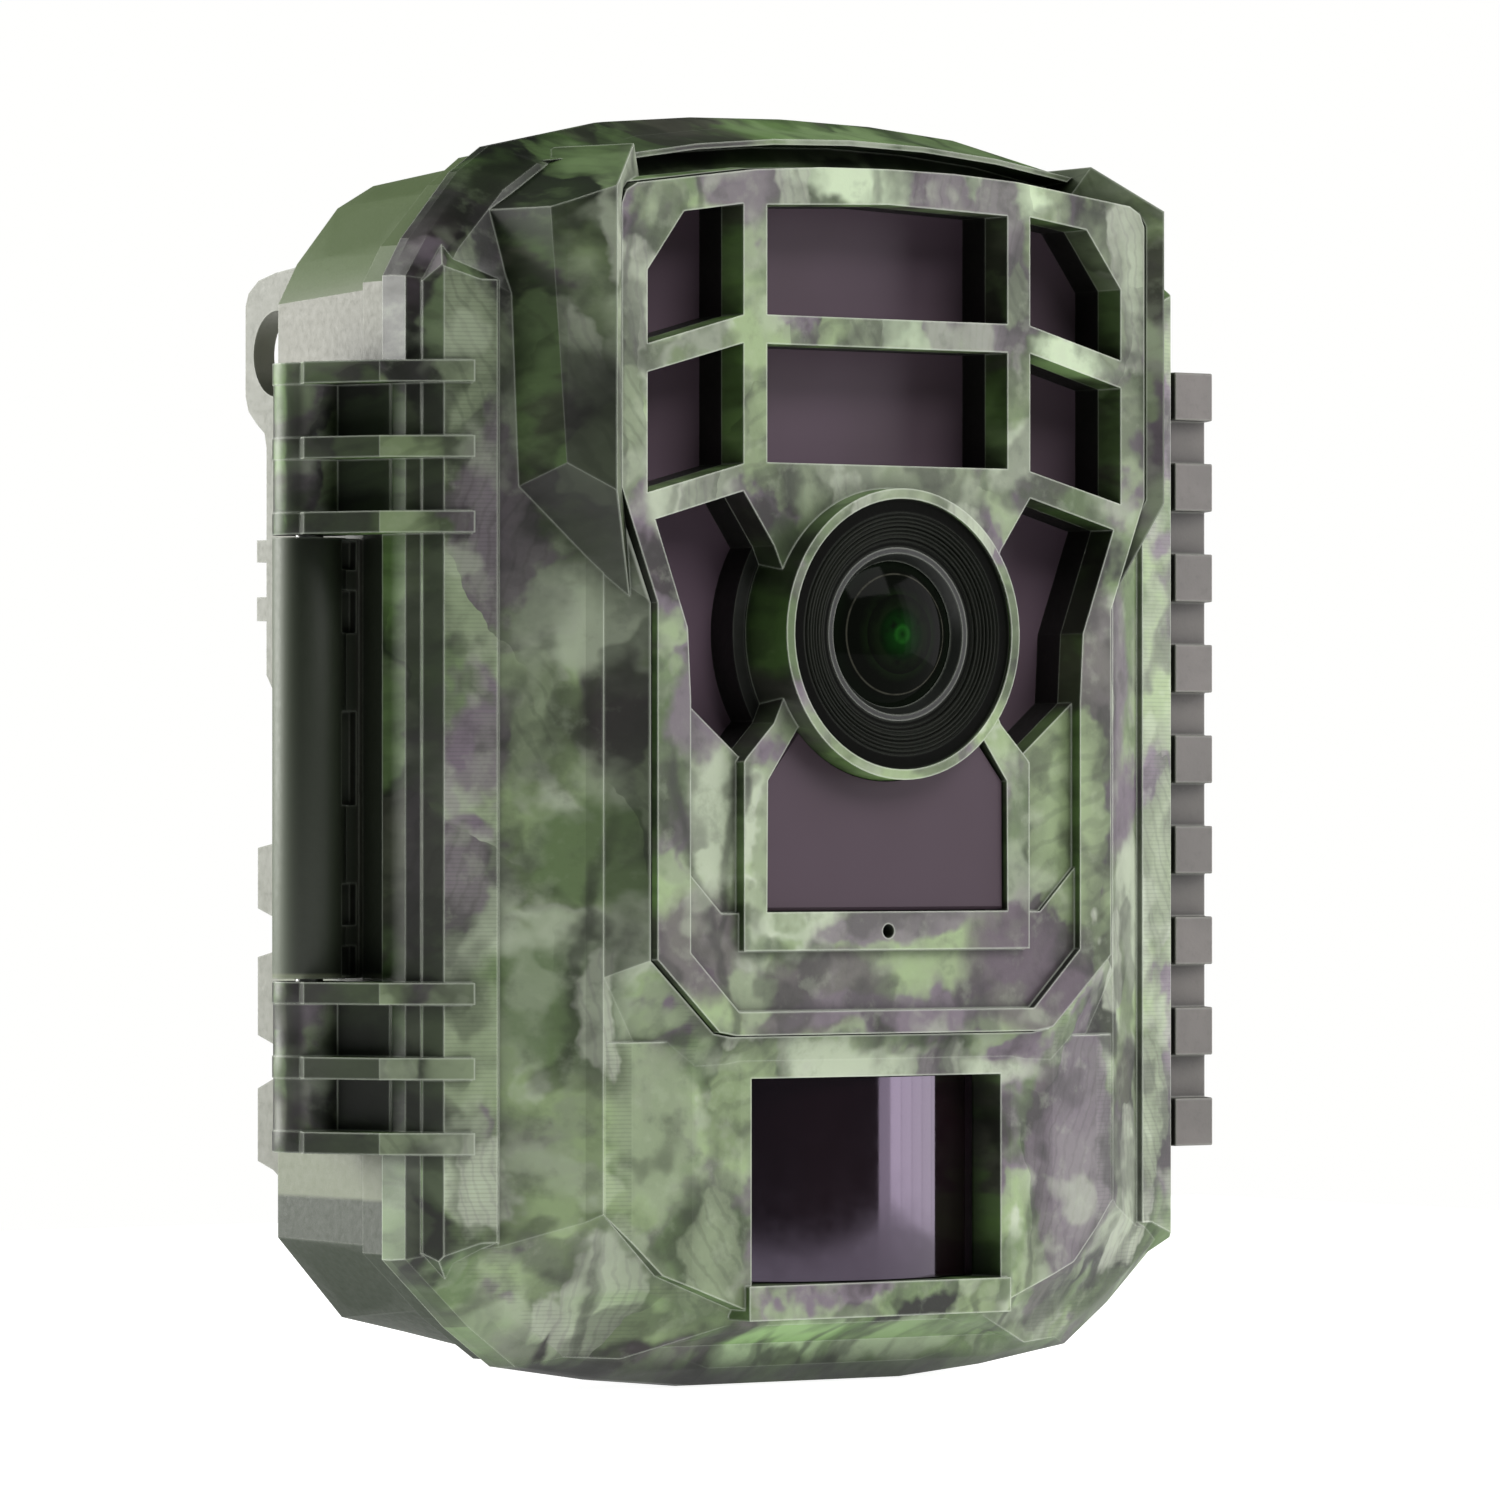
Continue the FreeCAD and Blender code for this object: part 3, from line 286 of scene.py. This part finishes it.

# Large patches on the shell and the panel: x and z of the middle, half sizes and colour. Most are print
# colour; the pale patches on the left cheek and rim side are painted light.
SHELL_PATCHES = [
    (-28, 70, 10, 4.5, BARK), (-33, 76, 3.5, 7, BARK), (-37, 83, 7, 7, PALE), (-34, 58, 8, 6, MOSS),
    (-46, 68, 4, 5, LILAC), (-46, 51, 4, 8, PALE), (-38, 42, 8, 6, MOSS), (-46, 84, 4, 8, SAGE),
    (-28, 30, 5, 9, SAGE), (-23, 17, 5, 5, MOSS), (-40, 126, 8, 5, NIGHT), (-30, 129, 4, 3, PALE),
    (-20, 134, 9, 3, PLUM), (-51, 103, 4, 11, NIGHT), (-45, 112, 4, 6, LILAC), (-46, 101, 4, 6, SAGE),
    (-42, 92, 4, 4, MOSS), (-36, 103, 4, 10, PALE), (-34, 114, 4, 6, SAGE), (-51, 34, 5, 6, NIGHT),
    (-46, 24, 5, 7, PALE), (0, 134, 9, 2, PALE), (20, 133, 8, 3, SAGE), (-46, 38, 4, 6, SAGE),
    (34, 76, 5, 9, LILAC), (37, 61, 4, 7, LILAC), (39, 93, 4, 7, SAGE), (40, 50, 4, 7, PALE),
    (31, 39, 4, 4, NIGHT), (38, 33, 5, 4, BARK), (32, 22, 6, 7, PALE), (23, 30, 2.5, 7, PLUM),
    (24, 14, 4, 4, SAGE), (38, 118, 5, 5, BARK), (-8, 4, 8, 3, MINT), (12, 5, 9, 3, PALE),
    (-26, 9, 9, 4, LEAF), (0, 35, 20, 2.5, PALE),
]
PANEL_PATCHES = [
    (-26, 48, 7, 7, PLUM), (-10, 42, 11, 5, PLUM), (-19, 43, 3, 2.5, SAGE), (8, 45, 6, 3, LEAF),
    (19, 46, 8, 8, PLUM), (-19, 127, 7, 4, LILAC), (-5, 128, 8, 3, MINT), (13, 128, 8, 3, MINT),
    (30, 122, 5, 5, SAGE), (27, 112, 6, 3, MINT), (-27, 96, 6, 5, PALE), (0, 97, 14, 4, SAGE),
    (-14, 80, 3, 5, MOSS), (-13, 90, 3, 3, MOSS), (22, 63, 3, 7, SAGE), (-22, 62, 4, 7, PALE),
    (18, 100, 5, 3, PALE), (0, 112.5, 9, 2, MINT), (-25, 72, 4, 5, LILAC), (28, 76, 3, 9, PLUM),
    (0, 49, 12, 2, LILAC), (-17.5, 58, 1.5, 6, SAGE), (28, 56, 3, 5, LILAC), (0, 40, 14, 2, LILAC),
]


# Scattered leaves: turn, cells per millimetre, share of cells left empty, the leaf's colour and its veins'.
LEAF_KINDS = [
    (0.6, 0.070, 0.55, LEAF, NIGHT),
    (-0.8, 0.085, 0.60, PALE, LILAC),
    (1.4, 0.060, 0.70, LILAC, BARK),
    (-0.2, 0.095, 0.62, SAGE, NIGHT),
]
# Thin twigs: turn, cells per millimetre, and the noise values between which they fade in.
TWIG_KINDS = [(0.9, 0.060, 0.56, 0.64), (-0.5, 0.08, 0.58, 0.66)]


def blotches(look, bent):
    """The soft ground colours under everything else."""
    tones = [(0.38, BARK), (0.45, LILAC), (0.51, SAGE), (0.58, LEAF), (0.64, PALE), (0.72, SAGE)]
    colour = look.ramp(look.noise(bent, 0.050, 3.0, 0.55), tones, "EASE")
    greens = look.noise(look.vector("ADD", bent, (70, 30, 20)), 0.045, 3.0, 0.55)
    colour = look.mix(look.times(look.step(greens, 0.49, 0.58), 0.75), colour, MOSS)
    return look.mix(look.step(greens, 0.60, 0.67), colour, NIGHT)


def placed_patches(look, colour, warp, patches):
    """Large patches at chosen places, with wavering outlines."""
    here = look.vector("ADD", look.place(), look.vector("SCALE", warp, scale=14.0))
    for x, z, wide, high, patch in patches:
        away = look.vector("SUBTRACT", here, (x, 0, z))
        reach = look.length(look.vector("MULTIPLY", away, (1 / wide, 0, 1 / high)))
        colour = look.mix(look.times(look.step(reach, 1.25, 0.75), 0.85), colour, patch)
    return colour


def scattered_leaves(look, colour, swayed, fuzz, kind):
    """One kind of leaf: its shadow first, then the leaf with its veins and darker rim."""
    turn, size, empty, leaf, vein_colour = kind
    where = look.stretched(swayed, turn, 0.42)
    middle = look.math("ADD", look.cells(where, size, pointed=True), fuzz)
    picked = look.parts(look.cells(where, size, output="Color", pointed=True))[0]
    chosen = look.step(picked, empty, empty + 0.02)
    colour = look.mix(look.times(look.step(middle, 0.72, 0.46), chosen, 0.5), colour, NIGHT)
    x, _, z = look.parts(where)
    ribs = look.math("SINE", look.math("ADD", look.times(z, 5.5), look.times(x, 2.4)))
    inner = look.mix(look.times(look.step(ribs, 0.3, 1.0), 0.22), leaf, vein_colour)
    inner = look.mix(look.times(look.step(middle, 0.2, 0.45), 0.30), inner, vein_colour)
    return look.mix(look.times(look.step(middle, 0.50, 0.44), chosen, 0.8), colour, inner)


def twigs(look, colour, swayed, kind):
    """Thin dark lines along the borders of tall cells, in some places only."""
    turn, size, low, high = kind
    where = look.stretched(swayed, turn, 0.22)
    line = look.step(look.cells(where, size, feature="DISTANCE_TO_EDGE"), 0.050, 0.008)
    field = look.step(look.noise(where, 0.05, 1.0), low, high)
    return look.mix(look.times(line, field, 0.6), colour, NIGHT)


def flecks(look, colour, value, dark, pale):
    """Dark flecks where the value is high and pale ones where it is low; each is (start, full, share)."""
    colour = look.mix(look.times(look.step(value, dark[0], dark[1]), dark[2]), colour, NIGHT)
    return look.mix(look.times(look.step(value, pale[0], pale[1]), pale[2]), colour, PALE)


def by_direction(look, colour):
    """Painted light and shade by facing: a green light tint on left-facing sides, tops and undersides, print
    lines on the slanting flanks, and painted shade on facets that face well to the side.
    """
    nx, _, nz = look.normal()
    lean = look.math("ABSOLUTE", nx)
    z = look.parts(look.place())[2]
    side = look.step(look.times(nx, -1.0), 0.80, 0.97)
    level = look.step(look.math("ABSOLUTE", nz), 0.45, 0.9)
    # Painted light: left-facing sides, tops and undersides take a green tint, as if lit by green light.
    green_light_tint = look.mix(1.0, colour, srgb(176, 214, 140), blend="MULTIPLY")
    colour = look.mix(look.times(look.math("MAXIMUM", side, level), 0.8), colour, green_light_tint)
    flank = look.times(look.step(lean, 0.29, 0.32), look.step(lean, 0.36, 0.33))
    print_lines = look.step(look.math("SINE", look.times(z, 14.0)), 0.2, 0.9)
    colour = look.mix(look.times(flank, print_lines, 0.16), colour, NIGHT)
    # Painted shade: facets that face well to the side, below the top, are darkened.
    side_facet_shade = look.times(look.step(lean, 0.55, 0.80), look.step(lean, 0.97, 0.93), look.step(z, 116.0, 104.0))
    return look.mix(look.times(side_facet_shade, 0.75), colour, NIGHT)


def camouflage(name, offset, patches):
    """Leaf camouflage: soft blotches, placed patches, leaves with veins and shadows, and thin twigs."""
    look = Look(name)
    base = look.place((1.0, 0.35, 1.0), offset)
    warp = look.vector("SUBTRACT", look.noise(base, 0.07, 4.0, 0.6, output="Color"), (0.5, 0.5, 0.5))
    bent = look.vector("ADD", base, look.vector("SCALE", warp, scale=20.0))
    swayed = look.vector("ADD", base, look.vector("SCALE", warp, scale=7.0))
    fuzz = look.times(look.math("SUBTRACT", look.noise(base, 0.45, 2.0, 0.5), 0.5), 0.18)

    colour = placed_patches(look, blotches(look, bent), warp, patches)
    for kind in LEAF_KINDS:
        colour = scattered_leaves(look, colour, swayed, fuzz, kind)
    for kind in TWIG_KINDS:
        colour = twigs(look, colour, swayed, kind)
    litter = look.noise(look.vector("ADD", swayed, (11, 0, 43)), 0.11, 2.0, 0.5)
    colour = flecks(look, colour, litter, (0.54, 0.62, 0.50), (0.44, 0.36, 0.35))
    mottle = look.noise(base, 0.30, 4.0, 0.6)
    colour = flecks(look, colour, mottle, (0.50, 0.72, 0.30), (0.47, 0.30, 0.16))

    # Painted light and shade by facing, then painted shade in the recesses and painted edge highlights.
    look.finish(by_direction(look, colour), 0.65)
    look.set("Roughness", look.ramp(mottle, [(0.3, 0.40), (0.7, 0.52)]))
    look.bump(look.noise(look.place(), 3.5, 3.0, 0.6), 0.02 * MM, 0.6)
    return look.material


# ---------------------------------------------------------------- plain plastics and the rest
def moulded(name, colour, second, roughness, edge=0.25, zones=None, recess_shade=0.85, gloss=0.5):
    """Moulded plastic: uneven colour, a fine spark-eroded grain, painted shade in the recesses and painted
    highlights along the edges.
    """
    look = Look(name)
    where = look.place()
    tone = look.mix(look.step(look.noise(where, 0.06, 3.0, 0.6), 0.38, 0.62), colour, second)
    fleck = look.noise(where, 1.2, 4.0, 0.7)
    tone = look.mix(look.times(look.step(fleck, 0.5, 0.8), 0.15), tone, SOOT)
    # Zones, where given, paint shade; only the case has them.
    for share, shade in zones(look, where) if zones else ():
        tone = look.mix(share, tone, shade)
    look.finish(tone, edge, recess_shade)
    look.set("Roughness", look.ramp(fleck, [(0.3, roughness - 0.06), (0.7, roughness + 0.06)]))
    look.set("Specular IOR Level", gloss)
    look.bump(look.noise(where, 2.5, 3.0, 0.6), 0.02 * MM, 0.6)
    return look.material


def case_painted_shade(look, where):
    """Painted shade on the case: darker towards its foot, on its slopes, on the foot below FOOT_Z and along
    the hinge column, where it deepens towards the door.
    """
    x, y, z = look.parts(where)
    slope = look.math("ABSOLUTE", look.normal()[2])
    low, high = COLUMN
    column = look.times(look.step(z, low - 0.2, low + 0.2), look.step(z, high + 0.2, high - 0.2),
                        look.step(x, -49.0, -50.0), look.step(y, 7.0, 4.0))
    # All four are painted shade, not the plastic's own colour.
    return [(look.step(z, 100.0, 30.0), srgb(118, 125, 101)),
            (look.step(slope, 0.12, 0.55), srgb(96, 114, 74)),
            (look.step(z, FOOT_Z + 0.3, FOOT_Z - 0.3), srgb(26, 42, 12)),
            (column, look.mix(look.step(y, -3.4, -6.4), srgb(98, 106, 90), srgb(34, 40, 28)))]


def glossy(name, colour, second, roughness, gloss=0.5):
    """A smooth, shiny surface whose two close tones drift into each other."""
    look = Look(name)
    where = look.place()
    look.set("Base Color", look.mix(look.step(look.noise(where, 0.05), 0.35, 0.65), colour, second))
    uneven = look.noise(where, 0.4, 3.0)
    look.set("Roughness", look.ramp(uneven, [(0.3, roughness), (0.8, roughness + 0.04)]))
    look.set("Specular IOR Level", gloss)
    return look.material


def motion_window():
    """The dark window over the motion sensor, which mirrors more than plain plastic does."""
    material = glossy("pir_window", srgb(18, 8, 11), srgb(14, 6, 9), 0.05)
    shader = material.node_tree.nodes["Principled BSDF"]
    shader.inputs["IOR"].default_value = 1.9
    shader.inputs["Specular Tint"].default_value = srgb(222, 205, 235)
    return material


def metal(name, colour, second):
    """Brushed metal."""
    look = Look(name, Metallic=1.0)
    lines = look.noise(look.place((0.3, 0.3, 6.0)), 1.0, 3.0, 0.6)
    look.set("Base Color", look.mix(lines, colour, second))
    look.set("Roughness", look.ramp(lines, [(0.3, 0.24), (0.7, 0.38)]))
    look.bump(lines, 0.01 * MM, 0.4)
    return look.material


def glass(name, tint):
    """Clear glass with a faint smear."""
    look = Look(name, Roughness=0.0, IOR=1.5)
    smear = look.step(look.noise(look.place(), 0.25, 3.0, 0.6), 0.3, 0.8)
    look.set("Base Color", look.mix(smear, tint, tuple(0.9 * c for c in tint[:3]) + (1,)))
    look.set("Transmission Weight", 1.0)
    return look.material


def board(name):
    """Green solder mask over faint copper tracks."""
    look = Look(name, Roughness=0.35)
    upright = look.place(turn=(math.pi / 2, 0, 0))
    inputs = {"Vector": upright, "Scale": 0.4, "Mortar Size": 0.03, "Color1": srgb(14, 74, 40),
              "Color2": srgb(18, 88, 48), "Mortar": srgb(36, 120, 66)}
    tracks = look.node("ShaderNodeTexBrick", inputs).outputs[0]
    cloud = look.step(look.noise(look.place(), 0.3), 0.4, 0.6)
    look.set("Base Color", look.mix(cloud, tracks, srgb(12, 66, 36)))
    return look.material


def lens_coating():
    """The dark front element: the outline of each retaining ring seen through its coating, and a green pupil
    that is a painted reflection of the coated element behind, with a brighter painted highlight circle.
    """
    look = Look("lens_coating")
    x, _, z = look.parts(look.vector("SUBTRACT", look.place(), (0, 0, LENS_Z)))
    radius = look.length(look.node("ShaderNodeCombineXYZ", {0: x, 2: z}).outputs[0])
    black, lip, deep = srgb(10, 12, 9), srgb(66, 66, 58), srgb(16, 24, 13)
    # Inside 3 mm the green stops are a painted reflection; the brighter one at 0.8 mm is a painted
    # highlight.
    rings_and_reflection = [(0, srgb(10, 30, 10)), (0.8, srgb(22, 66, 20)), (1.2, srgb(12, 40, 12)), (2.6, srgb(8, 22, 8)),
             (3.0, deep), (4.2, black), (4.3, deep), (5.2, black), (6.30, black), (6.42, lip), (6.54, black),
             (7.85, srgb(14, 20, 13))]
    tone = look.ramp(look.math("DIVIDE", radius, 10.0), [(r / 10.0, colour) for r, colour in rings_and_reflection])
    haze = look.step(look.noise(look.place(), 0.6, 3.0), 0.45, 0.8)
    look.set("Base Color", look.mix(haze, tone, black))
    look.set("Roughness", look.ramp(look.noise(look.place(), 0.3, 3.0), [(0.3, 0.05), (0.8, 0.12)]))
    look.set("Specular IOR Level", 0.02)
    return look.material


def dress(names, material):
    for name in names.split():
        mesh = nodes[name].data
        mesh.materials.clear()
        mesh.materials.append(material)


def round_edges(name):
    """Real rounded edges: flats are merged first, and only sharp corners between them are rounded."""
    piece = nodes[name]
    piece.modifiers.new("weld", "WELD").merge_threshold = 1e-6
    flat = piece.modifiers.new("flats", "DECIMATE")
    flat.decimate_type = "DISSOLVE"
    flat.angle_limit = math.radians(0.6)
    bevel = piece.modifiers.new("edges", "BEVEL")
    bevel.width = ROUNDING * MM
    bevel.segments = 2
    bevel.limit_method = "ANGLE"
    bevel.angle_limit = math.radians(28.0)
    bevel.miter_outer = "MITER_ARC"


# ---------------------------------------------------------------- new pieces
def at(x, depth, z):
    """A point in metres, from the part's own millimetres."""
    return (x * MM, (depth - TRIPOD_DEPTH) * MM, z * MM)


def new_piece(name, verts, faces, body, material):
    mesh = bpy.data.meshes.new(name)
    mesh.from_pydata(verts, [], faces)
    mesh.validate()
    mesh.materials.append(material)
    piece = bpy.data.objects.new(name, mesh)
    bpy.context.scene.collection.objects.link(piece)
    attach(piece, body)


def turned(name, profile, body, material):
    """A closed ring turned about the lens axis, from the (radius, depth) corners of its section."""
    sides, n = 96, len(profile)
    verts, faces = [], []
    for i in range(sides):
        a = 2 * math.pi * i / sides
        verts += [at(r * math.cos(a), depth, LENS_Z + r * math.sin(a)) for r, depth in profile]
        j = (i + 1) % sides
        for k in range(n):
            m = (k + 1) % n
            faces.append((i * n + k, i * n + m, j * n + m, j * n + k))
    new_piece(name, verts, faces, body, material)


def plate(name, outline, front, back, body, material):
    """A flat plate with a chamfered front edge, from an outline of (x, z) corners."""
    chamfer, n = 0.25, len(outline)
    mid_x = sum(x for x, _ in outline) / n
    mid_z = sum(z for _, z in outline) / n
    drawn_in = [(x + (mid_x - x) * chamfer / 16, z + (mid_z - z) * chamfer / 10) for x, z in outline]
    levels = ((drawn_in, front), (outline, front + chamfer), (outline, back))
    verts = [at(x, depth, z) for corners, depth in levels for x, z in corners]
    faces = [tuple(range(n)), tuple(reversed(range(2 * n, 3 * n)))]
    for a, b in ((0, n), (n, 2 * n)):
        faces += [(a + i, b + i, b + (i + 1) % n, a + (i + 1) % n) for i in range(n)]
    new_piece(name, verts, faces, body, material)


def low_pane_outline():
    """The pane below the lens, with its top cut to the barrel's curve."""
    reach, top = BARREL_R + 0.2, PANE_HALF - 0.05
    arc = [math.radians(-42 - 96 * i / 24) for i in range(25)]
    curve = [(reach * math.cos(a), LENS_Z + reach * math.sin(a)) for a in arc]
    corners = [(-PANE_HALF, PANE_LOW), (PANE_HALF, PANE_LOW), (top, PANE_SHOULDER)]
    return corners + curve + [(-top, PANE_SHOULDER)]


def lens_groove(i):
    """One fine lip of the lens well, as a closed ring section."""
    r, depth = 12.6 - 0.42 * i, -2.34 + 0.085 * i
    return [(r, depth), (r - 0.10, depth - 0.12), (r - 0.20, depth - 0.12), (r - 0.28, depth + 0.05),
            (r - 0.25, depth + 0.3), (r, depth + 0.3)]


# ---------------------------------------------------------------- putting it together
make_camera()
make_stage()

dress("front_cover", camouflage("camo_cover", (0, 0, 0), SHELL_PATCHES))
dress("front_panel", camouflage("camo_panel", (37, 5, 61), PANEL_PATCHES))
dress("rear_case", moulded("case_plastic", srgb(130, 129, 118), srgb(124, 124, 111), 0.5, zones=case_painted_shade))
dress("tree_bracket", moulded("bracket_plastic", srgb(128, 129, 119), srgb(121, 123, 111), 0.5))
dress("latch", moulded("latch_plastic", srgb(102, 98, 94), srgb(92, 89, 85), 0.45))

black_plastic = moulded("black_plastic", srgb(9, 10, 7), srgb(13, 15, 10), 0.5, edge=0.05)
lens_black = moulded("lens_black", srgb(6, 7, 5), srgb(9, 10, 8), 0.42, edge=0.05, gloss=0.03)
pane_look = glossy("pane", srgb(72, 60, 69), srgb(68, 56, 64), 0.36, 0.2)
dress("ir_bezel lens_holder pir_holder lens_barrel", black_plastic)
dress("ir_filter", glossy("filter", srgb(90, 75, 87), srgb(85, 71, 81), 0.36, 0.2))
dress("pir_lens", motion_window())
dress("lens_baffle", lens_black)
dress("lens_ring", moulded("lens_grey", srgb(22, 25, 22), srgb(17, 20, 17), 0.4, recess_shade=0.3))
dress("lens_front_glass", lens_coating())
dress("lens_rear_element", glass("lens_glass", (0.80, 0.95, 0.84, 1)))

inner_black = moulded("inner_black", srgb(52, 52, 50), srgb(44, 44, 43), 0.55, edge=0.12)
key_rubber = moulded("key_rubber", srgb(150, 152, 148), srgb(138, 140, 136), 0.6)
dress("inner_panel battery_tray", inner_black)
dress("key_up key_down key_left key_right key_ok key_menu", key_rubber)
dress("mode_switch_knob", moulded("white_plastic", srgb(215, 214, 206), srgb(205, 204, 196), 0.45))
dress("key_switches sd_card", moulded("matt_black", srgb(26, 26, 27), srgb(34, 34, 35), 0.5, edge=0.1))
dress("case_gasket", moulded("seal_rubber", srgb(34, 34, 33), srgb(42, 42, 41), 0.8, edge=0.05))
dress("lcd_window", glass("clear_cover", (0.95, 0.96, 0.96, 1)))
dress("lcd_screen", glossy("screen", srgb(16, 18, 22), srgb(10, 12, 15), 0.05))
dress("ir_cut_filter image_sensor", glossy("coated_glass", srgb(40, 60, 52), srgb(30, 34, 46), 0.04))
dress("ir_leds", glossy("led_resin", srgb(170, 160, 180), srgb(150, 140, 165), 0.1))
dress("aa_cells", glossy("cell_sleeve", srgb(46, 84, 52), srgb(30, 60, 38), 0.2))
dress("ir_led_board main_board", board("circuit_board"))

steel = metal("steel", srgb(190, 190, 188), srgb(160, 160, 158))
dress("pir_sensor microphone board_screws inner_panel_screws mode_switch_body sd_socket usb_socket", steel)
dress("hinge_pin latch_pin battery_contacts battery_springs tray_screws bracket_screws", steel)
dress("tripod_insert board_spacers", metal("brass", srgb(200, 165, 95), srgb(170, 135, 70)))

for i in range(6):
    turned("lens_groove_%d" % (i + 1), lens_groove(i), "door", lens_black)
plate("low_window_pane", low_pane_outline(), 0.55, 1.6, "door", pane_look)
for name in ("front_cover", "front_panel", "rear_case", "latch"):
    round_edges(name)
